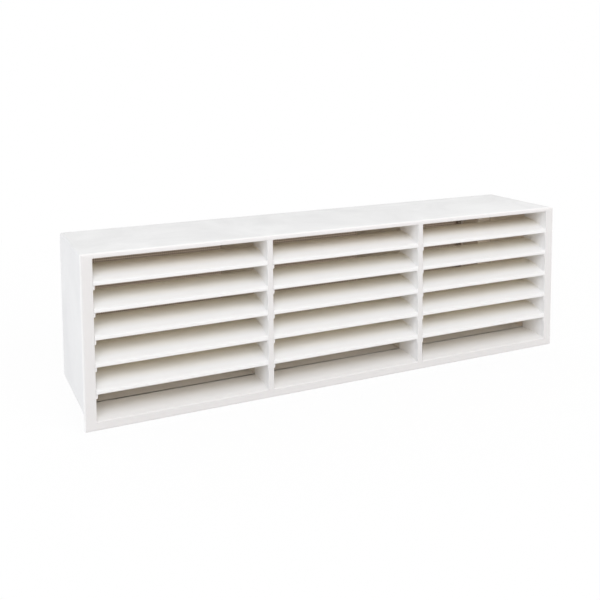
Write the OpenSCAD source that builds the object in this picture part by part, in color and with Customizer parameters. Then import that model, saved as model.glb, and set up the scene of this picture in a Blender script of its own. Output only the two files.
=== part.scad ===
// Louvred air brick for a wall of one-brick courses: a face grille with crowned rain louvres
// in three bays, a box body, full-depth partitions and a spigot for a flat duct at the rear.
// Millimetres. +X runs along the face, the face looks towards -Y, +Z is up.
// The origin is the bottom centre of the whole brick's box, at the drip lip's edge.

/* [Face] */
// Width of the face, one brick long
face_w = 215; // [150:1:300]
// Height of the face, from the drip lip's edge to the top
face_h = 65; // [50:1:90]
// Thickness of the face plate
plate_t = 2; // [1.6:0.1:3]
// Width of each stile at the ends of the face
stile_w = 4.25; // [4:0.05:9]
// Height of the bar over the top row, and thickness of the body's top wall behind it
top_bar_h = 1.6; // [1.2:0.1:3]
// Width of each mullion between two bays, and thickness of the partition behind it
mullion_w = 2.3; // [1.6:0.1:5]
// Radius of the outer edges
edge_r = 1.2; // [0.4:0.1:1.5]

/* [Louvres] */
// Number of louvres in one bay
louvre_rows = 5; // [3:1:6]
// Depth of a louvre, from its nose to its crest
louvre_d = 15; // [10:0.5:22]
// Height of a louvre's nose at the face
nose_h = 1.6; // [1.2:0.1:2.4]
// How far a louvre's crest lies above its nose
crest_rise = 3.3; // [2:0.1:4.5]
// Thickness of a louvre behind its nose
louvre_t = 1.8; // [1.2:0.1:2.4]
// Radius of the edges of a louvre's nose
nose_r = 0.5; // [0.2:0.05:0.55]
// Width of the nib that carries each end of a louvre
nib_w = 0.8; // [0.5:0.1:1.5]
// Height of that nib
nib_h = 1.5; // [0.8:0.1:2.5]
// Depth of that nib
nib_d = 2.5; // [1:0.1:5]

/* [Sill] */
// How far the drip lip hangs below the body's underside
lip_drop = 2.9; // [1.5:0.1:5]
// Height of the sill's front edge above the lip's edge
sill_h = 3.4; // [3:0.1:5]
// Depth over which the sill rises to the floor
sill_slope_d = 4.9; // [3:0.1:8]
// Thickness of the floor
floor_t = 1.8; // [1.2:0.1:2.6]

/* [Body] */
// Depth of the body behind the face plane, to the rear shoulder
body_d = 45; // [35:1:90]
// Thickness of the side walls
side_wall = 2; // [1.6:0.1:2.4]
// Leg of the chamfer along the body's lower long edges
lower_chamfer = 3.5; // [1:0.1:5]

/* [Duct spigot] */
// How far the spigot steps in from each side of the body
side_step = 8; // [4:0.5:25]
// How far the spigot steps in from the body's top and underside
top_step = 3.55; // [3.2:0.05:8]
// Length of the spigot behind the shoulder
spigot_len = 15; // [12:1:40]
// Wall of the spigot
spigot_wall = 1.8; // [1.4:0.1:2.5]
// Thickness of the shoulder plate
shoulder_t = 2; // [1.5:0.1:4]
// Radius of the spigot's long corners
spigot_r = 4; // [2:0.5:8]
// Depth of the stop lip inside the spigot's mouth
stop_d = 2.4; // [1.5:0.1:4]
// Height of that lip over the spigot's inner wall
stop_h = 1.2; // [0.8:0.1:2]

/* [Insect screen] */
// Depth of the screen's frame
screen_d = 3; // [2.4:0.1:5]
// Width of the frame's outer wall
screen_wall = 1.4; // [1:0.1:2.5]
// Width of the ledge that the mesh lies on
screen_ledge = 2; // [1.2:0.1:4]
// Thickness of the mesh panel
mesh_t = 1; // [0.6:0.1:1.4]
// Distance from one mesh opening to the next
mesh_pitch = 4.6; // [4:0.1:8]
// Width of the bars between the openings
mesh_bar = 1.2; // [0.8:0.1:2]

/* [Fits] */
// Clearance between two nested pieces
fit_gap = 0.15; // [0.1:0.01:0.3]

/* [Hidden] */
bays = ["left", "middle", "right"];
bay_count = len(bays);
white = [0.93, 0.93, 0.92];
shade_white = [0.89, 0.89, 0.88];
dark_mesh = [0.2, 0.18, 0.16];
arc_steps = 5;
crown_steps = 10;
over = 0.5; // how far a cut runs past the face that it opens
tight_r = 0.1; // radius of a corner that is all but sharp
tail_angle = 75; // how far the rounding of a louvre's rear edge turns to each side

overall_d = body_d + spigot_len;
opening_half = face_w / 2 - stile_w;
bay_w = (2 * opening_half - (bay_count - 1) * mullion_w) / bay_count;
bay_step = bay_w + mullion_w;
window_top = face_h - top_bar_h;
row_pitch = (window_top - sill_h) / (louvre_rows + 1);
floor_z = lip_drop + floor_t;

// The crown is an arc whose highest point is the louvre's rear edge.
crown_r = (louvre_d ^ 2 + crest_rise ^ 2) / (2 * crest_rise);
crown_z = nose_h + crest_rise - crown_r;

inner_half = face_w / 2 - side_wall;
chamfer_wall = floor_t * sqrt(2);
inner_chamfer = lower_chamfer - side_wall - floor_t + chamfer_wall;
tray_half = face_w / 2 - max(lower_chamfer, stile_w - 2 * fit_gap) - fit_gap;
tray_end = louvre_d;

spigot_mid_z = (face_h + lip_drop) / 2;
spigot_w = face_w - 2 * side_step;
spigot_h = face_h - lip_drop - 2 * top_step;
spigot_in_w = spigot_w - 2 * spigot_wall;
spigot_in_h = spigot_h - 2 * spigot_wall;
bore_r = max(spigot_r - spigot_wall, tight_r);
screen_end = overall_d - stop_d;
screen_start = screen_end - screen_d;
partition_end = screen_start - fit_gap;
screen_w = spigot_in_w - 2 * fit_gap;
screen_h = spigot_in_h - 2 * fit_gap;
mesh_w = screen_w - 2 * screen_wall - 2 * fit_gap;
mesh_h = screen_h - 2 * screen_wall - 2 * fit_gap;
mesh_open_w = screen_w - 2 * screen_wall - 2 * screen_ledge;
mesh_open_h = screen_h - 2 * screen_wall - 2 * screen_ledge;
mesh_end = screen_end - screen_d / 2;

function louvre_name(bay, row) = str("louvre_", bays[bay], "_", row);
function bay_x(bay) = (bay - (bay_count - 1) / 2) * bay_step;
function mullion_x(index) = bay_x(index) + bay_step / 2;
function nose_z(row) = window_top - row * row_pitch;
function arc(cu, cv, r, a0, a1, steps) =
    [for (i = [0:steps]) let (a = a0 + (a1 - a0) * i / steps) [cu + r * cos(a), cv + r * sin(a)]];

// Everything is drawn with the face plane at y = 0 and then moved to the origin's place.
module placed() {
    translate([0, -overall_d / 2, 0]) children();
}

// A section drawn as [depth, height] and drawn out along X between two places
module along_x(x0, x1) {
    translate([x0, 0, 0]) rotate([90, 0, 90]) linear_extrude(x1 - x0) children();
}

// A section drawn as [x, height] and drawn out along the depth between two places
module along_y(y0, y1) {
    translate([0, y1, 0]) rotate([90, 0, 0]) linear_extrude(y1 - y0) children();
}

module rounded_rect(w, h, r) {
    polygon(concat(
        arc(w / 2 - r, h / 2 - r, r, 0, 90, arc_steps),
        arc(r - w / 2, h / 2 - r, r, 90, 180, arc_steps),
        arc(r - w / 2, r - h / 2, r, 180, 270, arc_steps),
        arc(w / 2 - r, r - h / 2, r, 270, 360, arc_steps)));
}

// Plate with its front edges rounded on all four sides
module face_plate() {
    intersection() {
        along_x(-face_w / 2, face_w / 2)
            polygon(concat(
                arc(edge_r, edge_r, edge_r, 270, 180, arc_steps),
                arc(edge_r, face_h - edge_r, edge_r, 180, 90, arc_steps),
                [[plate_t, face_h], [plate_t, 0]]));
        linear_extrude(face_h)
            polygon(concat(
                arc(edge_r - face_w / 2, edge_r, edge_r, 180, 270, arc_steps),
                arc(face_w / 2 - edge_r, edge_r, edge_r, 270, 360, arc_steps),
                [[face_w / 2, plate_t], [-face_w / 2, plate_t]]));
    }
}

// Drip lip, rounded nose, slope and flat tray of the sill, in one section
module sill_section() {
    polygon(concat(
        arc(edge_r, edge_r, edge_r, 270, 180, arc_steps),
        arc(nose_r, sill_h - nose_r, nose_r, 180, 90, arc_steps),
        [[sill_slope_d, floor_z], [tray_end, floor_z], [tray_end, lip_drop],
         [plate_t, lip_drop], [plate_t, 0]]));
}

// Skirt behind a stile, cut away at its foot to clear the body's chamfered corner
module skirt_section() {
    skirt_out = inner_half - fit_gap;
    foot_z = floor_z + inner_chamfer;
    polygon([
        [opening_half, lip_drop + floor_t / 2], [tray_half, lip_drop + floor_t / 2],
        [tray_half, foot_z - (skirt_out - tray_half) + fit_gap], [skirt_out, foot_z + fit_gap],
        [skirt_out, window_top - fit_gap], [opening_half, window_top - fit_gap]]);
}

// Nibs under both ends of every louvre of one bay
module nibs(bay) {
    for (row = [1:louvre_rows]) for (side = [-1, 1])
        translate([bay_x(bay) + side * bay_w / 2, 0, nose_z(row)])
            along_y(nose_r, nose_r + nib_d)
                polygon([[side * over / 2, 0], [-side * nib_w, 0], [side * over / 2, -nib_h]]);
}

module front_frame() {
    color(white) placed() {
        difference() {
            face_plate();
            for (bay = [0:bay_count - 1])
                translate([bay_x(bay) - bay_w / 2, -over, sill_h / 2])
                    cube([bay_w, plate_t + 2 * over, window_top - sill_h / 2]);
        }
        along_x(-tray_half, tray_half) sill_section();
        for (side = [0, 1]) mirror([side, 0, 0])
            along_y(plate_t - over, tray_end) skirt_section();
        for (index = [0:bay_count - 2])
            translate([mullion_x(index) - mullion_w / 2, plate_t - over, sill_h])
                cube([mullion_w, tray_end - plate_t + over, window_top - fit_gap - sill_h]);
        for (bay = [0:bay_count - 1]) nibs(bay);
    }
}

// Crowned louvre: rounded nose, arc over the top, the same arc one thickness below it
module louvre_section() {
    under_r = crown_r - louvre_t;
    under_start = max(nose_r, louvre_d - sqrt(under_r ^ 2 - crown_z ^ 2));
    under_angle = acos((under_start - louvre_d) / under_r);
    nose_top_z = crown_z + sqrt((crown_r - nose_r) ^ 2 - (louvre_d - nose_r) ^ 2);
    nose_angle = atan2(nose_top_z - crown_z, nose_r - louvre_d);
    polygon(concat(
        arc(nose_r, nose_r, nose_r, 270, 180, arc_steps),
        arc(nose_r, nose_top_z, nose_r, 180, nose_angle, arc_steps),
        arc(louvre_d, crown_z, crown_r, nose_angle, 90, crown_steps),
        arc(louvre_d, crown_z + crown_r - louvre_t / 2, louvre_t / 2, tail_angle, -tail_angle, arc_steps),
        arc(louvre_d, crown_z, under_r, 90, under_angle, crown_steps)));
}

module louvre(bay, row) {
    color(white) placed()
        translate([0, 0, nose_z(row)])
            along_x(bay_x(bay) - bay_w / 2, bay_x(bay) + bay_w / 2) louvre_section();
}

// Outline of the body across its depth, with the lower corners cut off
module body_outline() {
    half = face_w / 2;
    polygon(concat(
        arc(half - edge_r, face_h - edge_r, edge_r, 0, 90, arc_steps),
        arc(edge_r - half, face_h - edge_r, edge_r, 90, 180, arc_steps),
        [[-half, lip_drop + lower_chamfer], [lower_chamfer - half, lip_drop],
         [half - lower_chamfer, lip_drop], [half, lip_drop + lower_chamfer]]));
}

// Outline of the room inside the body, shrunk on every side by a clearance
module room_outline(gap) {
    half = inner_half - gap;
    low = floor_z + gap;
    high = window_top - gap;
    polygon([[half, high], [-half, high], [-half, low + inner_chamfer], [inner_chamfer - half, low],
             [half - inner_chamfer, low], [half, low + inner_chamfer]]);
}

module sleeve() {
    cut_half = tray_half + fit_gap;
    color(white) placed() difference() {
        along_y(plate_t, body_d) body_outline();
        along_y(plate_t - over, body_d + over) room_outline(0);
        translate([-cut_half, plate_t - over, 0])
            cube([2 * cut_half, tray_end + fit_gap - plate_t + over, floor_z + inner_chamfer]);
    }
}

// Upright wall in line with a mullion, stepped down where it runs into the spigot
module partition(index) {
    shoulder_y = body_d - shoulder_t;
    low = spigot_mid_z - spigot_in_h / 2 + fit_gap;
    high = spigot_mid_z + spigot_in_h / 2 - fit_gap;
    start = tray_end + fit_gap;
    color(shade_white) placed()
        along_x(mullion_x(index) - mullion_w / 2, mullion_x(index) + mullion_w / 2)
            polygon([[start, floor_z], [shoulder_y, floor_z], [shoulder_y, low],
                     [partition_end, low], [partition_end, high], [shoulder_y, high],
                     [shoulder_y, window_top], [start, window_top]]);
}

module spigot_outline(w, h, r) {
    translate([0, spigot_mid_z]) rounded_rect(w, h, r);
}

module rear_spigot() {
    lip_w = spigot_in_w - 2 * stop_h;
    lip_h = spigot_in_h - 2 * stop_h;
    color(shade_white) placed() difference() {
        union() {
            along_y(body_d - shoulder_t, body_d) room_outline(fit_gap);
            along_y(body_d - shoulder_t, overall_d) spigot_outline(spigot_w, spigot_h, spigot_r);
        }
        along_y(body_d - shoulder_t - over, screen_end)
            spigot_outline(spigot_in_w, spigot_in_h, bore_r);
        along_y(screen_end - over, overall_d + over)
            spigot_outline(lip_w, lip_h, bore_r);
    }
}

module screen_frame() {
    color(dark_mesh) placed() difference() {
        along_y(screen_start, screen_end) spigot_outline(screen_w, screen_h, bore_r);
        along_y(screen_start - over, mesh_end)
            spigot_outline(mesh_w + 2 * fit_gap, mesh_h + 2 * fit_gap, tight_r);
        along_y(mesh_end - over, screen_end + over) spigot_outline(mesh_open_w, mesh_open_h, tight_r);
    }
}

module insect_mesh() {
    columns = floor(mesh_open_w / mesh_pitch);
    lines = floor(mesh_open_h / mesh_pitch);
    hole = mesh_pitch - mesh_bar;
    color(dark_mesh) placed() along_y(mesh_end - mesh_t, mesh_end) translate([0, spigot_mid_z])
        difference() {
            square([mesh_w, mesh_h], center = true);
            for (i = [0:columns - 1]) for (j = [0:lines - 1])
                translate([(i - (columns - 1) / 2) * mesh_pitch, (j - (lines - 1) / 2) * mesh_pitch])
                    square(hole, center = true);
        }
}

front_frame();
sleeve();
partition(0);  // partition_left
partition(1);  // partition_right
rear_spigot();
screen_frame();
insect_mesh();
for (bay = [0:bay_count - 1]) for (row = [1:louvre_rows])
    louvre(bay, row);
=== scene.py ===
import bmesh
import bpy
import math
from mathutils import Euler, Matrix, Vector


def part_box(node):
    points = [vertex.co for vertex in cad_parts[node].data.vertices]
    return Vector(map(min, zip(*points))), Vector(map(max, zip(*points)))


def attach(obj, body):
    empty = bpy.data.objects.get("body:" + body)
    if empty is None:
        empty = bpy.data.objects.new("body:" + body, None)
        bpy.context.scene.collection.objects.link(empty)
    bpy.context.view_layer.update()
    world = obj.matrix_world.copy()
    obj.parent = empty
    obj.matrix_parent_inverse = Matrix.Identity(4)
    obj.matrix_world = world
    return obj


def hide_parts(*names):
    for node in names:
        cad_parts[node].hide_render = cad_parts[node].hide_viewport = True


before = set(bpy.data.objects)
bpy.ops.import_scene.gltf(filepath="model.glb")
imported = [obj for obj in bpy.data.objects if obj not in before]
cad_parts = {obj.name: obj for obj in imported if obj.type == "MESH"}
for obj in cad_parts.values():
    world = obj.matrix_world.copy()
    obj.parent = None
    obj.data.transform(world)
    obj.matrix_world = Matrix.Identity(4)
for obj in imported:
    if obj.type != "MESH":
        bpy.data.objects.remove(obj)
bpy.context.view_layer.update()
mm = 0.001

print("stage: sizes from the frame")

faceLow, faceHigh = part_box("front_frame")
sleeveLow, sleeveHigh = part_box("sleeve")
spigotLow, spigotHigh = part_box("rear_spigot")
screenLow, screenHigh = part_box("screen_frame")
meshLow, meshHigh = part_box("insect_mesh")
bayNames = ["left", "middle", "right"]
rowCount = sum(1 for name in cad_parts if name.startswith("louvre_left_"))

faceY = faceLow.y
trayEnd = faceHigh.y
middleZ = (spigotLow.z + spigotHigh.z) / 2
bayBoxes = [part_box("louvre_" + bay + "_1") for bay in bayNames]
openingHalf = bayBoxes[-1][1].x
mullionSpans = [(bayBoxes[i][1].x, bayBoxes[i + 1][0].x) for i in range(len(bayBoxes) - 1)]

# Helpers for edit mode

def startPiece(name):
    piece = bpy.context.object
    piece.name = name
    piece.data.name = name
    return piece


def deselectAll():
    if bpy.context.object and bpy.context.object.mode == "EDIT":
        bpy.ops.object.mode_set(mode="OBJECT")
    bpy.ops.object.select_all(action="DESELECT")


def makeActive(piece):
    deselectAll()
    piece.select_set(True)
    bpy.context.view_layer.objects.active = piece


def addBox(name, low, high):
    deselectAll()
    centre = [(a + b) / 2 for a, b in zip(low, high)]
    bpy.ops.mesh.primitive_cube_add(size=1, location=centre, scale=[b - a for a, b in zip(low, high)])
    bpy.ops.object.transform_apply(location=True, rotation=True, scale=True)
    return startPiece(name)


def startEdit(piece):
    makeActive(piece)
    bpy.ops.object.mode_set(mode="EDIT")


def endEdit():
    bpy.ops.object.mode_set(mode="OBJECT")


def pick(kind, test):
    mesh = bpy.context.edit_object.data
    bpy.ops.mesh.select_mode(type=kind)
    bpy.ops.mesh.select_all(action="DESELECT")
    shape = bmesh.from_edit_mesh(mesh)
    shape.normal_update()
    if kind == "FACE":
        for face in shape.faces:
            face.select_set(test(face.calc_center_median(), face.normal))
    elif kind == "EDGE":
        for edge in shape.edges:
            a, b = edge.verts[0].co, edge.verts[1].co
            edge.select_set(test((a + b) / 2, (b - a).normalized()))
    else:
        for vert in shape.verts:
            vert.select_set(test(vert.co, None))
    shape.select_flush_mode()
    bmesh.update_edit_mesh(mesh)
    return sum(1 for v in shape.verts if v.select)


def cutAcross(axis, place):
    # One straight cut over the whole piece
    bpy.ops.mesh.select_mode(type="VERT")
    bpy.ops.mesh.select_all(action="SELECT")
    point = [0, 0, 0]
    normal = [0, 0, 0]
    point["xyz".index(axis)] = place
    normal["xyz".index(axis)] = 1
    bpy.ops.mesh.bisect(plane_co=point, plane_no=normal)


def placeVerts(test, y=None, z=None):
    # Moves the picked points together until they lie at that depth or height
    pick("VERT", test)
    shape = bmesh.from_edit_mesh(bpy.context.edit_object.data)
    first = next(v.co for v in shape.verts if v.select)
    bpy.ops.transform.translate(value=(0, 0 if y is None else y - first.y, 0 if z is None else z - first.z))


def extrudeBy(step):
    bpy.ops.mesh.extrude_region_move(TRANSFORM_OT_translate={"value": step})


def close(a, b, slack=0.02 * mm):
    return abs(a - b) < slack


def tidyShell():
    bpy.ops.mesh.select_mode(type="VERT")
    bpy.ops.mesh.select_all(action="SELECT")
    bpy.ops.mesh.remove_doubles(threshold=0.002 * mm)
    bpy.ops.mesh.normals_make_consistent(inside=False)


def applyModifier(piece, kind, **settings):
    makeActive(piece)
    modifier = piece.modifiers.new(kind.lower(), kind)
    for key, value in settings.items():
        setattr(modifier, key, value)
    bpy.ops.object.modifier_apply(modifier=modifier.name)


def cutWith(piece, tool, operation="DIFFERENCE", solver="EXACT"):
    applyModifier(piece, "BOOLEAN", operation=operation, object=tool, solver=solver)
    bpy.data.objects.remove(tool)


def softEdges(piece, width, segments, angle=32):
    applyModifier(piece, "BEVEL", width=width, segments=segments, limit_method="ANGLE",
                  angle_limit=math.radians(angle), miter_outer="MITER_ARC", use_clamp_overlap=True)


def finishPiece(piece, node, material, angle=40):
    makeActive(piece)
    bpy.ops.object.shade_smooth_by_angle(angle=math.radians(angle))
    # Flat walls keep their own normal, and only the narrow roundings turn
    applyModifier(piece, "WEIGHTED_NORMAL", keep_sharp=True)
    piece.data.materials.clear()
    piece.data.materials.append(material)
    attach(piece, "root")
    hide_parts(node)


def lineInside(piece, inside, material):
    # One more material, on the faces that look into the box
    piece.data.materials.append(material)
    startEdit(piece)
    pick("FACE", inside)
    piece.active_material_index = len(piece.data.materials) - 1
    bpy.ops.object.material_slot_assign()
    endEdit()


# Materials

def newGroup(name, inputs, outputs):
    group = bpy.data.node_groups.new(name, "ShaderNodeTree")
    for title, kind, default in inputs:
        socket = group.interface.new_socket(title, in_out="INPUT", socket_type=kind)
        if default is not None:
            socket.default_value = default
    for title, kind in outputs:
        group.interface.new_socket(title, in_out="OUTPUT", socket_type=kind)
    start = group.nodes.new("NodeGroupInput")
    end = group.nodes.new("NodeGroupOutput")
    return group, start, end


def addNode(tree, kind, values=None, **settings):
    node = tree.nodes.new(kind)
    for key, value in settings.items():
        setattr(node, key, value)
    for key, value in (values or {}).items():
        node.inputs[key].default_value = value
    return node


skinAndShade = {
    "peelScale": 1100.0,
    "smudgeScale": 34.0,
    "scratchScale": 420.0,
    "warmShadeStart": 3.0 * mm,
    "warmShadeEnd": 12.0 * mm,
    "rearShadeStart": 12.0 * mm,
    "rearShadeEnd": 46.0 * mm,
}


def buildSkinAndShadeGroup():
    # Orange peel, wiping smudges, fine rubs and a slight tone drift of an injection moulding, with painted shade:
    # darker front faces, darker upward faces towards the rear and a warm tint deep behind the face
    group, start, end = newGroup(
        "skinAndShade",
        [("Peel", "NodeSocketFloat", 0.2), ("Smudge", "NodeSocketFloat", 0.2),
         ("Base Roughness", "NodeSocketFloat", 0.3), ("Light", "NodeSocketColor", None),
         ("Dull And Shade", "NodeSocketColor", None), ("Front Shade", "NodeSocketColor", None),
         ("Front Shade Depth", "NodeSocketFloat", 0.001), ("Warm Shade Tint", "NodeSocketColor", None)],
        [("Color", "NodeSocketColor"), ("Roughness", "NodeSocketFloat"), ("Height", "NodeSocketFloat")])
    coords = addNode(group, "ShaderNodeTexCoord")
    peel = addNode(group, "ShaderNodeTexNoise", {"Scale": skinAndShade["peelScale"], "Detail": 1.0})
    smudge = addNode(group, "ShaderNodeTexNoise", {"Scale": skinAndShade["smudgeScale"], "Detail": 5.0,
                                                  "Roughness": 0.62, "Distortion": 0.6})
    stretched = addNode(group, "ShaderNodeMapping", {"Scale": (0.25, 1.0, 1.6)})
    rubs = addNode(group, "ShaderNodeTexNoise", {"Scale": skinAndShade["scratchScale"], "Detail": 2.0})
    for noise in (peel, smudge):
        group.links.new(coords.outputs["Object"], noise.inputs["Vector"])
    group.links.new(coords.outputs["Object"], stretched.inputs["Vector"])
    group.links.new(stretched.outputs["Vector"], rubs.inputs["Vector"])
    ramp = addNode(group, "ShaderNodeMapRange", {"From Min": 0.38, "From Max": 0.68})
    group.links.new(smudge.outputs["Fac"], ramp.inputs["Value"])
    scaled = addNode(group, "ShaderNodeMath", operation="MULTIPLY")
    group.links.new(ramp.outputs["Result"], scaled.inputs[0])
    group.links.new(start.outputs["Smudge"], scaled.inputs[1])
    rough = addNode(group, "ShaderNodeMath", operation="ADD")
    group.links.new(start.outputs["Base Roughness"], rough.inputs[0])
    group.links.new(scaled.outputs[0], rough.inputs[1])
    group.links.new(rough.outputs[0], end.inputs["Roughness"])
    depth = addNode(group, "ShaderNodeSeparateXYZ")
    group.links.new(coords.outputs["Object"], depth.inputs[0])
    behindFace = addNode(group, "ShaderNodeMath", {1: faceY}, operation="SUBTRACT")
    group.links.new(depth.outputs["Y"], behindFace.inputs[0])
    # Upward faces take the dull colour in random smudges, and as painted shade that grows towards the rear edge
    facing = addNode(group, "ShaderNodeSeparateXYZ")
    upward = addNode(group, "ShaderNodeMapRange", {"From Min": 0.6, "From Max": 0.95, "To Min": 0.3})
    rearward = addNode(group, "ShaderNodeMapRange", {"From Min": skinAndShade["rearShadeStart"],
                                                     "From Max": skinAndShade["rearShadeEnd"], "To Max": 0.6})
    smudgeAndShade = addNode(group, "ShaderNodeMath", {1: 0.7}, operation="MULTIPLY_ADD")
    smudgeAndShadeShare = addNode(group, "ShaderNodeMath", operation="MULTIPLY", use_clamp=True)
    group.links.new(coords.outputs["Normal"], facing.inputs[0])
    group.links.new(facing.outputs["Z"], upward.inputs["Value"])
    group.links.new(behindFace.outputs[0], rearward.inputs["Value"])
    group.links.new(ramp.outputs["Result"], smudgeAndShade.inputs[0])
    group.links.new(rearward.outputs["Result"], smudgeAndShade.inputs[2])
    group.links.new(smudgeAndShade.outputs[0], smudgeAndShadeShare.inputs[0])
    group.links.new(upward.outputs["Result"], smudgeAndShadeShare.inputs[1])
    mixColor = addNode(group, "ShaderNodeMix", data_type="RGBA")
    group.links.new(smudgeAndShadeShare.outputs[0], mixColor.inputs["Factor"])
    group.links.new(start.outputs["Light"], mixColor.inputs[6])
    group.links.new(start.outputs["Dull And Shade"], mixColor.inputs[7])
    # Forward-facing faces near the front are painted darker: painted shade on the front faces
    outer = addNode(group, "ShaderNodeMapRange", {"To Min": 1.0, "To Max": 0.0})
    outward = addNode(group, "ShaderNodeMapRange", {"From Min": -0.35, "From Max": -0.85,
                                                    "To Min": 0.3})
    frontShadeShare = addNode(group, "ShaderNodeMath", operation="MULTIPLY")
    group.links.new(behindFace.outputs[0], outer.inputs["Value"])
    group.links.new(start.outputs["Front Shade Depth"], outer.inputs["From Max"])
    group.links.new(facing.outputs["Y"], outward.inputs["Value"])
    group.links.new(outer.outputs["Result"], frontShadeShare.inputs[0])
    group.links.new(outward.outputs["Result"], frontShadeShare.inputs[1])
    frontShaded = addNode(group, "ShaderNodeMix", data_type="RGBA")
    group.links.new(frontShadeShare.outputs[0], frontShaded.inputs["Factor"])
    group.links.new(mixColor.outputs[2], frontShaded.inputs[6])
    group.links.new(start.outputs["Front Shade"], frontShaded.inputs[7])
    # Deeper behind the face the colour is tinted warm and darker: painted warm shade
    inner = addNode(group, "ShaderNodeMapRange", {"From Min": skinAndShade["warmShadeStart"],
                                                  "From Max": skinAndShade["warmShadeEnd"]})
    group.links.new(behindFace.outputs[0], inner.inputs["Value"])
    warmed = addNode(group, "ShaderNodeMix", data_type="RGBA", blend_type="MULTIPLY")
    group.links.new(inner.outputs["Result"], warmed.inputs["Factor"])
    group.links.new(frontShaded.outputs[2], warmed.inputs[6])
    group.links.new(start.outputs["Warm Shade Tint"], warmed.inputs[7])
    group.links.new(warmed.outputs[2], end.inputs["Color"])
    peelPart = addNode(group, "ShaderNodeMath", operation="MULTIPLY")
    group.links.new(peel.outputs["Fac"], peelPart.inputs[0])
    group.links.new(start.outputs["Peel"], peelPart.inputs[1])
    rubPart = addNode(group, "ShaderNodeMath", {1: 0.25}, operation="MULTIPLY_ADD")
    group.links.new(rubs.outputs["Fac"], rubPart.inputs[0])
    group.links.new(peelPart.outputs[0], rubPart.inputs[2])
    group.links.new(rubPart.outputs[0], end.inputs["Height"])
    return group


skinAndShadeGroup = buildSkinAndShadeGroup()


def plasticMaterial(name, light, dullAndShade, frontShade, frontShadeDepth, warmShade, roughness, smudge, peel, bump):
    material = bpy.data.materials.new(name)
    material.use_nodes = True
    tree = material.node_tree
    shader = tree.nodes["Principled BSDF"]
    skin = addNode(tree, "ShaderNodeGroup")
    skin.node_tree = skinAndShadeGroup
    skin.inputs["Peel"].default_value = peel
    skin.inputs["Smudge"].default_value = smudge
    skin.inputs["Base Roughness"].default_value = roughness
    skin.inputs["Light"].default_value = (*light, 1)
    skin.inputs["Dull And Shade"].default_value = (*dullAndShade, 1)
    skin.inputs["Front Shade"].default_value = (*frontShade, 1)
    skin.inputs["Front Shade Depth"].default_value = frontShadeDepth
    skin.inputs["Warm Shade Tint"].default_value = (*warmShade, 1)
    relief = addNode(tree, "ShaderNodeBump", {"Strength": bump, "Distance": 0.02 * mm})
    tree.links.new(skin.outputs["Color"], shader.inputs["Base Color"])
    tree.links.new(skin.outputs["Roughness"], shader.inputs["Roughness"])
    tree.links.new(skin.outputs["Height"], relief.inputs["Height"])
    tree.links.new(relief.outputs["Normal"], shader.inputs["Normal"])
    shader.inputs["IOR"].default_value = 1.5
    return material


print("stage: materials")
noTint = (1, 1, 1)
# Warm tint for the painted shade deep behind the face
warmShadeTint = (1, 0.935, 0.79)
bladeMoulding = plasticMaterial("bladeMoulding", (0.90, 0.895, 0.89), (0.88, 0.875, 0.87),
                                (0.72, 0.71, 0.70), 2.4 * mm, warmShadeTint, 0.3, 0.16, 0.4, 0.35)
frameMoulding = plasticMaterial("frameMoulding", (0.94, 0.93, 0.92), (0.92, 0.91, 0.90),
                                (0.65, 0.63, 0.62), 2.4 * mm, (1, 0.975, 0.925), 0.3, 0.16, 0.4, 0.35)
# The body's outside is the same white plastic painted greyer than the frame: painted shade
shadedBodyMoulding = plasticMaterial("shadedBodyMoulding", (0.81, 0.81, 0.81), (0.72, 0.72, 0.72),
                               (0.78, 0.78, 0.78), 1.0 * mm, noTint, 0.3, 0.16, 0.4, 0.35)
# Inside faces: white plastic with a strong warm tint deep behind the face, painted warm shade
innerMoulding = plasticMaterial("innerMoulding", (0.93, 0.92, 0.90), (0.91, 0.90, 0.88),
                                (0.91, 0.90, 0.88), 1.0 * mm, (1, 0.90, 0.78), 0.38, 0.15, 0.4, 0.3)
# The ceiling inside the box is painted brown: painted shade under the top
ceilingShade = plasticMaterial("ceilingShade", (0.66, 0.62, 0.57), (0.62, 0.58, 0.53),
                                  (0.62, 0.58, 0.53), 1.0 * mm, (1, 0.92, 0.82), 0.4, 0.15, 0.4, 0.3)
# The faces in the floor joint are painted dark: painted shade in the gap
seamShade = plasticMaterial("seamShade", (0.46, 0.42, 0.36), (0.40, 0.36, 0.31),
                           (0.40, 0.36, 0.31), 1.0 * mm, noTint, 0.6, 0.15, 0.4, 0.3)
# The dividers take a darker, warmer tint deep behind the face: painted shade on the dividers
shadedDividerMoulding = plasticMaterial("shadedDividerMoulding", (0.93, 0.92, 0.90), (0.91, 0.90, 0.88),
                                  (0.91, 0.90, 0.88), 1.0 * mm, (0.84, 0.77, 0.66), 0.38, 0.15, 0.4, 0.3)
spigotMoulding = plasticMaterial("spigotMoulding", (0.88, 0.875, 0.865), (0.86, 0.855, 0.845),
                                 (0.86, 0.855, 0.845), 1.0 * mm, noTint, 0.34, 0.15, 0.4, 0.3)
# The screen's rim, wires and the see-through sheet behind them are tan and brown: painted shade deep in the box, the
# sheet standing where there is only shade
shadedScreenRim = plasticMaterial("shadedScreenRim", (0.70, 0.62, 0.54), (0.66, 0.58, 0.50),
                            (0.66, 0.58, 0.50), 1.0 * mm, noTint, 0.5, 0.1, 0.3, 0.3)
shadedScreenWire = plasticMaterial("shadedScreenWire", (0.30, 0.235, 0.18), (0.25, 0.195, 0.15),
                             (0.25, 0.195, 0.15), 1.0 * mm, noTint, 0.55, 0.1, 0.3, 0.3)
shadeSheetCloth = plasticMaterial("shadeSheetCloth", (0.30, 0.235, 0.18), (0.26, 0.205, 0.155),
                             (0.26, 0.205, 0.155), 1.0 * mm, noTint, 0.7, 0.1, 0.3, 0.3)
shadeSheetCloth.node_tree.nodes["Principled BSDF"].inputs["Transmission Weight"].default_value = 1
shadeSheetCloth.node_tree.nodes["Principled BSDF"].inputs["IOR"].default_value = 1.1

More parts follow.
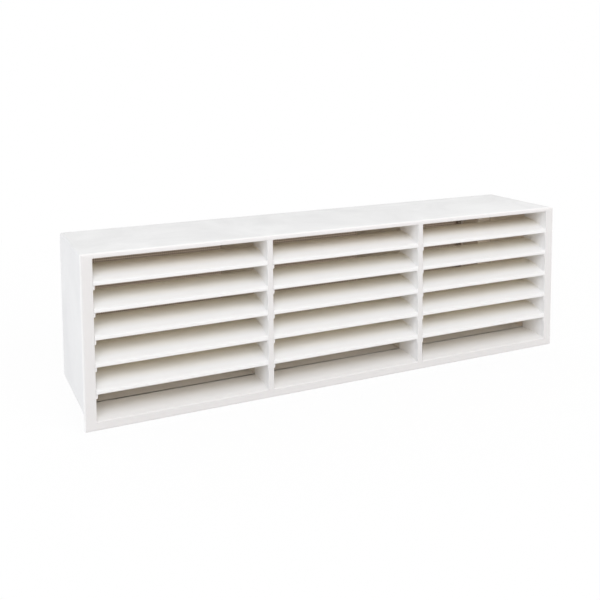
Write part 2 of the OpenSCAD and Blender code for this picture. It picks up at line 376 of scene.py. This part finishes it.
# Louvres

louvreShape = {
    "noseHeight": 1.6 * mm,
    "rise": 3.3 * mm,
    "thickness": 1.8 * mm,
    "noseReach": 1.2 * mm,
    "noseRound": 0.5 * mm,
    "tailReach": 0.9 * mm,
    "tailRound": 0.8 * mm,
    "crownSteps": 16,
    "cove": 0.45 * mm,
    "coveSteps": 3,
}


def addCoves(low, high, onTop):
    # The top runs up to the walls at both ends in a small hollow fillet
    radius, steps = louvreShape["cove"], louvreShape["coveSteps"]
    turns = [math.radians(90 * step / steps) for step in range(steps + 1)]
    for endX, inward in ((low.x, 1), (high.x, -1)):
        places = [endX + inward * radius * (1 - math.cos(turn)) for turn in turns]
        for x in places[1:]:
            cutAcross("x", x)
        for x, turn in zip(places, turns):
            pick("VERT", lambda p, n: close(p.x, x) and onTop(p))
            bpy.ops.transform.translate(value=(0, 0, radius * (1 - math.sin(turn))))


def modelLouvre(name, low, high):
    shape = louvreShape
    crestY = high.y - shape["tailReach"]
    depth = crestY - low.y
    crownRadius = (depth ** 2 + shape["rise"] ** 2) / (2 * shape["rise"])
    crestZ = low.z + shape["noseHeight"] + shape["rise"]
    sweep = math.asin((depth - shape["noseReach"]) / crownRadius)
    piece = addBox(name, (low.x, crestY, crestZ - shape["thickness"]), (high.x, high.y, crestZ))
    startEdit(piece)
    pick("FACE", lambda p, n: n.y < -0.9)
    bpy.ops.mesh.spin(steps=shape["crownSteps"], angle=-sweep, axis=(1, 0, 0),
                      center=(low.x, crestY, crestZ - crownRadius))
    extrudeBy((0, -shape["noseReach"], 0))
    noseY = low.y + 0.9 * mm
    noseZ = low.z + shape["noseHeight"] / 2
    placeVerts(lambda p, n: p.y < noseY and p.z > noseZ, y=low.y, z=low.z + shape["noseHeight"])
    placeVerts(lambda p, n: p.y < noseY and p.z <= noseZ, y=low.y, z=low.z)
    tidyShell()
    pick("EDGE", lambda p, d: close(p.y, low.y) and abs(d.x) > 0.9)
    bpy.ops.mesh.bevel(offset=shape["noseRound"], segments=4, affect="EDGES")
    pick("EDGE", lambda p, d: close(p.y, high.y) and abs(d.x) > 0.9)
    bpy.ops.mesh.bevel(offset=shape["tailRound"], segments=4, affect="EDGES")
    tidyShell()
    centre = Vector((0, crestY, crestZ - crownRadius))
    topLimit = crownRadius - shape["thickness"] / 2
    addCoves(low, high, lambda p: (Vector((0, p.y, p.z)) - centre).length > topLimit)
    tidyShell()
    endEdit()
    return piece


def copyPiece(source, name, step):
    makeActive(source)
    bpy.ops.object.duplicate()
    copy = bpy.context.object
    bpy.ops.transform.translate(value=step)
    bpy.ops.object.transform_apply(location=True, rotation=False, scale=False)
    copy.name = name
    copy.data.name = name
    return copy


def makeLouvres():
    first = modelLouvre("blade_left_1", *bayBoxes[0])
    pieces = {"louvre_left_1": first}
    for bay in bayNames:
        for row in range(1, rowCount + 1):
            node = f"louvre_{bay}_{row}"
            if node not in pieces:
                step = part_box(node)[0] - bayBoxes[0][0]
                pieces[node] = copyPiece(first, f"blade_{bay}_{row}", step)
    for node, piece in pieces.items():
        finishPiece(piece, node, bladeMoulding)
    print("stage: louvres", len(pieces))


# Front frame

frameShape = {
    "plate": 2.0 * mm,
    "topBar": 1.6 * mm,
    "sillHeight": 3.4 * mm,
    "slopeDepth": 4.9 * mm,
    "floor": 4.7 * mm,
    "lip": 2.9 * mm,
    "trayLap": 0.15 * mm,
    "skirt": 2.1 * mm,
    "skirtFoot": 7.1 * mm,
    "outerRound": 0.9 * mm,
    "softEdge": 0.28 * mm,
    "leftNib": (0.65 * mm, 0.56 * mm),
    "rightNib": (0.35 * mm, 0.2 * mm),
    "nibHeight": 1.5 * mm,
    "nibDepth": 2.5 * mm,
    "nibRoot": 0.4 * mm,
}


def modelNib(name, wallX, inward, topZ, width, foot):
    # Gusset in the corner below the end of a louvre
    shape = frameShape
    startY = faceY + louvreShape["noseRound"]
    farX = wallX + inward * width
    backX = wallX - inward * shape["nibRoot"]
    piece = addBox(name, (min(farX, backX), startY, topZ - shape["nibHeight"]),
                   (max(farX, backX), startY + shape["nibDepth"], topZ))
    startEdit(piece)
    pick("VERT", lambda p, n: close(p.x, farX) and p.z < topZ - shape["nibHeight"] / 2)
    bpy.ops.transform.translate(value=(inward * (foot - width), 0, 0))
    endEdit()
    return piece


def makeNibs():
    lefts = modelNib("nibs", bayBoxes[0][0].x, 1, bayBoxes[0][0].z, *frameShape["leftNib"])
    rights = modelNib("nib_right", bayBoxes[0][1].x, -1, bayBoxes[0][0].z, *frameShape["rightNib"])
    copies = []
    for bay in bayNames:
        for row in range(1, rowCount + 1):
            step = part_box(f"louvre_{bay}_{row}")[0] - bayBoxes[0][0]
            if step.length > mm:
                copies += [copyPiece(lefts, "nib_copy", step), copyPiece(rights, "nib_copy", step)]
    makeActive(lefts)
    for piece in [rights, *copies]:
        piece.select_set(True)
    bpy.ops.object.join()
    return lefts


def makeFrontFrame():
    shape = frameShape
    rearY = faceY + shape["plate"]
    bottomZ, topZ = faceLow.z, faceHigh.z
    sillZ = bottomZ + shape["sillHeight"]
    windowZ = topZ - shape["topBar"]
    skirtX = openingHalf + shape["skirt"]
    # The tray reaches a little under the skirt, so that the two share a strip and not one line
    trayX = openingHalf + shape["trayLap"]
    piece = addBox("grille_frame", (faceLow.x, faceY, bottomZ), (faceHigh.x, rearY, topZ))
    startEdit(piece)
    edgesX = [x for span in mullionSpans for x in span]
    for x in [-skirtX, -trayX, -openingHalf, *edgesX, openingHalf, trayX, skirtX]:
        cutAcross("x", x)
    for z in [bottomZ + shape["lip"], sillZ, windowZ]:
        cutAcross("z", z)
    for low, high in bayBoxes:
        pick("FACE", lambda p, n: low.x < p.x < high.x and sillZ < p.z < windowZ and abs(n.y) > 0.9)
        bpy.ops.mesh.bridge_edge_loops()

    def behindBars(p, n):
        inSill = abs(p.x) < trayX and bottomZ + shape["lip"] < p.z < sillZ
        inSkirt = openingHalf < abs(p.x) < skirtX and sillZ < p.z < windowZ
        inMullion = any(a < p.x < b for a, b in mullionSpans) and sillZ < p.z < windowZ
        return n.y > 0.9 and (inSill or inSkirt or inMullion)

    pick("FACE", behindBars)
    extrudeBy((0, trayEnd - rearY, 0))
    cutAcross("y", faceY + shape["slopeDepth"])
    slopeRise = shape["floor"] - shape["sillHeight"]
    backSlack = rearY - 0.2 * mm
    placeVerts(lambda p, n: p.y > backSlack and close(abs(p.x), skirtX) and close(p.z, sillZ),
               z=bottomZ + shape["skirtFoot"])
    placeVerts(lambda p, n: close(p.y, rearY) and abs(p.x) < skirtX - mm and close(p.z, sillZ),
               z=sillZ + slopeRise * shape["plate"] / shape["slopeDepth"])
    placeVerts(lambda p, n: p.y > rearY + mm and abs(p.x) < skirtX - mm and close(p.z, sillZ),
               z=bottomZ + shape["floor"])
    pick("EDGE", lambda p, d: close(p.y, faceY) and (close(abs(p.x), faceHigh.x)
                                                      or close(p.z, bottomZ) or close(p.z, topZ)))
    bpy.ops.mesh.bevel(offset=shape["outerRound"], segments=5, affect="EDGES")
    tidyShell()
    bpy.ops.mesh.dissolve_limited(angle_limit=math.radians(0.5))
    endEdit()
    softEdges(piece, shape["softEdge"], 3)
    cutWith(piece, makeNibs(), "UNION", solver="MANIFOLD")
    finishPiece(piece, "front_frame", frameMoulding)
    print("stage: front frame", len(piece.data.polygons))


# Body

bodyShape = {
    "topRound": 0.9 * mm,
    "chamfer": 3.5 * mm,
    "innerChamfer": 2.25 * mm,
    "wall": 2.0 * mm,
    "topWall": 1.6 * mm,
    "floor": 1.8 * mm,
    "trayHalf": 103.55 * mm,
    "joint": 0.15 * mm,
    "floorJoint": 0.5 * mm,
    "rearRound": 0.7 * mm,
    "softEdge": 0.25 * mm,
}


def roundAlongDepth(piece, atTop, offset, segments):
    low, high = pieceBox(piece)
    level = high.z if atTop else low.z
    startEdit(piece)
    pick("EDGE", lambda p, d: abs(d.y) > 0.9 and close(p.z, level))
    bpy.ops.mesh.bevel(offset=offset, segments=segments, affect="EDGES")
    endEdit()


def pieceBox(piece):
    corners = [piece.matrix_world @ v.co for v in piece.data.vertices]
    low = Vector([min(c[i] for c in corners) for i in range(3)])
    high = Vector([max(c[i] for c in corners) for i in range(3)])
    return low, high


def makeSleeve():
    shape = bodyShape
    low, high = sleeveLow, sleeveHigh
    piece = addBox("body_shell", (low.x, low.y + shape["joint"], low.z), high)
    roundAlongDepth(piece, True, shape["topRound"], 5)
    startEdit(piece)
    pick("EDGE", lambda p, d: close(p.y, high.y) and p.z > high.z - shape["topRound"] and abs(d.y) < 0.1)
    bpy.ops.mesh.bevel(offset=shape["rearRound"], segments=3, affect="EDGES")
    endEdit()
    roundAlongDepth(piece, False, shape["chamfer"], 1)
    room = addBox("room", (low.x + shape["wall"], low.y - mm, low.z + shape["floor"]),
                  (high.x - shape["wall"], high.y + mm, high.z - shape["topWall"]))
    roundAlongDepth(room, False, shape["innerChamfer"], 1)
    cutWith(piece, room)
    tray = addBox("tray", (-shape["trayHalf"], low.y - mm, low.z - mm),
                  (shape["trayHalf"], trayEnd + shape["floorJoint"], low.z + shape["floor"] + shape["innerChamfer"]))
    cutWith(piece, tray)
    softEdges(piece, shape["softEdge"], 3)
    finishPiece(piece, "sleeve", shadedBodyMoulding)
    # Inside faces: the walls take the inner material's painted warm shade, the floor the frame's lighter, less warm
    # colour as painted light, and the ceiling and the floor joint are painted dark as shade
    lineInside(piece, lambda p, n: p.x * n.x + (p.z - middleZ) * n.z < 0 and abs(n.y) < 0.5, innerMoulding)
    lineInside(piece, lambda p, n: n.z > 0.9 and p.z < low.z + 1.5 * shape["floor"], frameMoulding)
    lineInside(piece, lambda p, n: n.z < -0.9 and p.z > high.z - 1.5 * shape["topWall"], ceilingShade)
    seamEnd = trayEnd + shape["floorJoint"] + shape["softEdge"]
    lineInside(piece, lambda p, n: n.y < -0.2 and trayEnd < p.y < seamEnd, seamShade)
    print("stage: body", len(piece.data.polygons))


partitionShape = {"gap": 0.15 * mm, "softEdge": 0.3 * mm}


def makePartition(node, name):
    low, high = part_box(node)
    shape = partitionShape
    stepY = spigotLow.y
    innerLow = spigotTubeZ()[0] + shape["gap"]
    innerHigh = spigotTubeZ()[1] - shape["gap"]
    piece = addBox(name, low, (high.x, stepY, high.z))
    startEdit(piece)
    cutAcross("z", innerLow)
    cutAcross("z", innerHigh)
    pick("FACE", lambda p, n: n.y > 0.9 and innerLow < p.z < innerHigh)
    extrudeBy((0, high.y - stepY, 0))
    tidyShell()
    bpy.ops.mesh.dissolve_limited(angle_limit=math.radians(0.5))
    endEdit()
    softEdges(piece, shape["softEdge"], 3)
    finishPiece(piece, node, shadedDividerMoulding)


# Duct spigot

spigotShape = {
    "width": 199.0 * mm,
    "height": 55.0 * mm,
    "wall": 1.8 * mm,
    "corner": 4.0 * mm,
    "shoulder": 2.0 * mm,
    "stopDepth": 2.4 * mm,
    "stopHeight": 1.2 * mm,
    "softEdge": 0.3 * mm,
}


def spigotTubeZ():
    half = spigotShape["height"] / 2 - spigotShape["wall"]
    return middleZ - half, middleZ + half


def roundedTube(name, width, height, startY, stopY, corner):
    piece = addBox(name, (-width / 2, startY, middleZ - height / 2), (width / 2, stopY, middleZ + height / 2))
    startEdit(piece)
    pick("EDGE", lambda p, d: abs(d.y) > 0.9)
    bpy.ops.mesh.bevel(offset=corner, segments=6, affect="EDGES")
    endEdit()
    return piece


def makeSpigot():
    shape = spigotShape
    low, high = spigotLow, spigotHigh
    piece = addBox("duct_spigot", low, (high.x, low.y + shape["shoulder"], high.z))
    roundAlongDepth(piece, False, bodyShape["innerChamfer"], 1)
    tube = roundedTube("tube", shape["width"], shape["height"], low.y + 0.2 * mm, high.y, shape["corner"])
    cutWith(piece, tube, "UNION")
    innerWidth = shape["width"] - 2 * shape["wall"]
    innerHeight = shape["height"] - 2 * shape["wall"]
    innerCorner = shape["corner"] - shape["wall"]
    bore = roundedTube("bore", innerWidth, innerHeight, low.y - mm, high.y - shape["stopDepth"], innerCorner)
    cutWith(piece, bore)
    mouth = roundedTube("mouth", innerWidth - 2 * shape["stopHeight"], innerHeight - 2 * shape["stopHeight"],
                        low.y, high.y + mm, innerCorner)
    cutWith(piece, mouth)
    softEdges(piece, shape["softEdge"], 3)
    finishPiece(piece, "rear_spigot", spigotMoulding)
    boreX, boreZ = (shape["width"] - shape["wall"]) / 2, (shape["height"] - shape["wall"]) / 2
    lineInside(piece, lambda p, n: p.y < low.y + 0.3 * mm or (
        n.y < 0.5 and abs(p.x) < boreX and abs(p.z - middleZ) < boreZ
        and p.y < high.y - shape["stopDepth"]), innerMoulding)
    print("stage: spigot", len(piece.data.polygons))


# Insect screen

screenShape = {
    "wall": 1.4 * mm,
    "ledge": 2.0 * mm,
    "corner": 2.2 * mm,
    "softEdge": 0.25 * mm,
    "pitch": 0.9 * mm,
    "wire": 0.28 * mm,
    "shadeSheet": 0.12 * mm,
}


def makeScreen():
    shape = screenShape
    low, high = screenLow, screenHigh
    width, height = high.x - low.x, high.z - low.z
    piece = roundedTube("screen_rim", width, height, low.y, high.y, shape["corner"])
    middleY = (low.y + high.y) / 2
    seat = addBox("seat", (meshLow.x - 0.15 * mm, low.y - mm, meshLow.z - 0.15 * mm),
                  (meshHigh.x + 0.15 * mm, middleY, meshHigh.z + 0.15 * mm))
    cutWith(piece, seat)
    rim = shape["wall"] + shape["ledge"]
    view = addBox("view", (low.x + rim, low.y - mm, low.z + rim), (high.x - rim, high.y + mm, high.z - rim))
    cutWith(piece, view)
    softEdges(piece, shape["softEdge"], 2)
    finishPiece(piece, "screen_frame", shadedScreenRim)


def makeMesh():
    shape = screenShape
    width, height = meshHigh.x - meshLow.x, meshHigh.z - meshLow.z
    columns, lines = round(width / shape["pitch"]), round(height / shape["pitch"])
    deselectAll()
    bpy.ops.mesh.primitive_grid_add(x_subdivisions=columns, y_subdivisions=lines, size=1,
                                    rotation=(math.radians(90), 0, 0))
    bpy.ops.transform.resize(value=(width, 1, height))
    bpy.ops.transform.translate(value=(0, (meshLow.y + meshHigh.y) / 2, middleZ))
    bpy.ops.object.transform_apply(location=True, rotation=True, scale=True)
    piece = startPiece("fly_mesh")
    applyModifier(piece, "WIREFRAME", thickness=shape["wire"], use_replace=True,
                  use_even_offset=False, use_boundary=True)
    shadeSheetY = (meshLow.y + meshHigh.y) / 2
    inset = shape["wall"] + shape["ledge"] - 0.3 * mm
    # A brown see-through sheet across the screen's opening: painted shade
    shadeSheet = addBox("shade_sheet", (screenLow.x + inset, shadeSheetY - shape["shadeSheet"] / 2, screenLow.z + inset),
                   (screenHigh.x - inset, shadeSheetY + shape["shadeSheet"] / 2, screenHigh.z - inset))
    finishPiece(shadeSheet, "insect_mesh", shadeSheetCloth)
    finishPiece(piece, "insect_mesh", shadedScreenWire)
    print("stage: mesh", len(piece.data.polygons))


makeLouvres()
makeFrontFrame()
makeSleeve()
makePartition("partition_left", "divider_left")
makePartition("partition_right", "divider_right")
makeSpigot()
makeScreen()
makeMesh()

# Studio

studio = {
    "floorSize": 6.0,
    "floorColor": (0.94, 0.94, 0.94),
    "whiteNear": 0.93,
    "fadeStart": 0.14,
    "fadeEnd": 0.34,
    "worldStrength": 0.77,
    "worldColor": (1, 0.99, 0.975),
    "aim": (0, 0, 0.03),
    "lamps": {
        "keySoftbox": {"place": (-0.762, -1.219, 1.113), "size": 0.8, "power": 8.2, "color": (0.97, 0.985, 1)},
        "fillSoftbox": {"place": (0.856, -1.222, 1.037), "size": 0.8, "power": 4.2, "color": (0.97, 0.985, 1)},
        "lowSoftbox": {"place": (0.244, -1.737, 0.435), "size": 1.0, "power": 4.6, "color": (0.98, 0.99, 1)},
        "sideSoftbox": {"place": (-1.493, -0.794, 0.646), "size": 1.4, "power": 2.7, "color": (0.57, 0.68, 1)},
        "backSoftbox": {"place": (0.217, 1.231, 1.325), "size": 1.8, "power": 1.0, "color": (1, 0.99, 0.98)},
    },
}

photoCamera = {
    "place": (-0.1570, -0.3188, 0.1308),
    "yaw": 25.09,
    "pitch": 5.155,
    "roll": -0.368,
    "lens": 49.04,
    "shiftY": -0.2667,
}


def seenDirectly(tree):
    # Rays that show the background itself: camera, mirror and see-through rays
    rays = addNode(tree, "ShaderNodeLightPath")
    mirrored = addNode(tree, "ShaderNodeMath", operation="MAXIMUM")
    either = addNode(tree, "ShaderNodeMath", operation="MAXIMUM")
    tree.links.new(rays.outputs["Is Camera Ray"], mirrored.inputs[0])
    tree.links.new(rays.outputs["Is Glossy Ray"], mirrored.inputs[1])
    tree.links.new(mirrored.outputs[0], either.inputs[0])
    tree.links.new(rays.outputs["Is Transmission Ray"], either.inputs[1])
    return either.outputs[0]


def makeFloor():
    deselectAll()
    bpy.ops.mesh.primitive_plane_add(size=studio["floorSize"], location=(0, 0, 0))
    floor = startPiece("floor")
    material = bpy.data.materials.new("paleFloor")
    material.use_nodes = True
    tree = material.node_tree
    tree.nodes.remove(tree.nodes["Principled BSDF"])
    matt = addNode(tree, "ShaderNodeBsdfDiffuse", {"Color": (*studio["floorColor"], 1)})
    glow = addNode(tree, "ShaderNodeEmission", {"Color": (1, 1, 1, 1), "Strength": 1.0})
    coords = addNode(tree, "ShaderNodeTexCoord")
    distance = addNode(tree, "ShaderNodeVectorMath", operation="LENGTH")
    fade = addNode(tree, "ShaderNodeMapRange", {"From Min": studio["fadeStart"], "From Max": studio["fadeEnd"],
                                               "To Min": studio["whiteNear"], "To Max": 1.0})
    share = addNode(tree, "ShaderNodeMath", operation="MULTIPLY")
    blend = addNode(tree, "ShaderNodeMixShader")
    tree.links.new(coords.outputs["Object"], distance.inputs[0])
    tree.links.new(distance.outputs["Value"], fade.inputs["Value"])
    tree.links.new(fade.outputs["Result"], share.inputs[0])
    tree.links.new(seenDirectly(tree), share.inputs[1])
    tree.links.new(share.outputs[0], blend.inputs["Fac"])
    tree.links.new(matt.outputs[0], blend.inputs[1])
    tree.links.new(glow.outputs[0], blend.inputs[2])
    tree.links.new(blend.outputs[0], tree.nodes["Material Output"].inputs["Surface"])
    floor.data.materials.append(material)


def makeWorld():
    world = bpy.data.worlds.new("studioWorld")
    bpy.context.scene.world = world
    world.use_nodes = True
    tree = world.node_tree
    light = tree.nodes["Background"]
    light.inputs["Color"].default_value = (*studio["worldColor"], 1)
    light.inputs["Strength"].default_value = studio["worldStrength"]
    plain = addNode(tree, "ShaderNodeBackground", {"Color": (1, 1, 1, 1), "Strength": 1.0})
    blend = addNode(tree, "ShaderNodeMixShader")
    tree.links.new(seenDirectly(tree), blend.inputs["Fac"])
    tree.links.new(light.outputs[0], blend.inputs[1])
    tree.links.new(plain.outputs[0], blend.inputs[2])
    tree.links.new(blend.outputs[0], tree.nodes["World Output"].inputs["Surface"])


def addLamp(name, place, size, power, color):
    deselectAll()
    bpy.ops.object.light_add(type="AREA", location=place)
    lamp = bpy.context.object
    lamp.name = name
    lamp.data.size = size
    lamp.data.energy = power
    lamp.data.color = color
    aim = Vector(studio["aim"]) - Vector(place)
    lamp.rotation_euler = aim.to_track_quat("-Z", "Y").to_euler()


def makeCamera():
    deselectAll()
    bpy.ops.object.camera_add(location=photoCamera["place"])
    camera = bpy.context.object
    camera.name = "photoView"
    level = Euler((math.radians(90 - photoCamera["pitch"]), 0, -math.radians(photoCamera["yaw"])))
    turned = level.to_matrix() @ Matrix.Rotation(math.radians(photoCamera["roll"]), 3, "Z")
    camera.rotation_euler = turned.to_euler()
    camera.data.lens = photoCamera["lens"]
    camera.data.sensor_width = 36
    camera.data.shift_y = photoCamera["shiftY"]
    camera.data.clip_start = 0.01
    bpy.context.scene.camera = camera


makeFloor()
makeWorld()
for lampName, lamp in studio["lamps"].items():
    addLamp(lampName, lamp["place"], lamp["size"], lamp["power"], lamp["color"])
makeCamera()
bpy.context.scene.view_settings.view_transform = "Standard"
print("stage: studio")
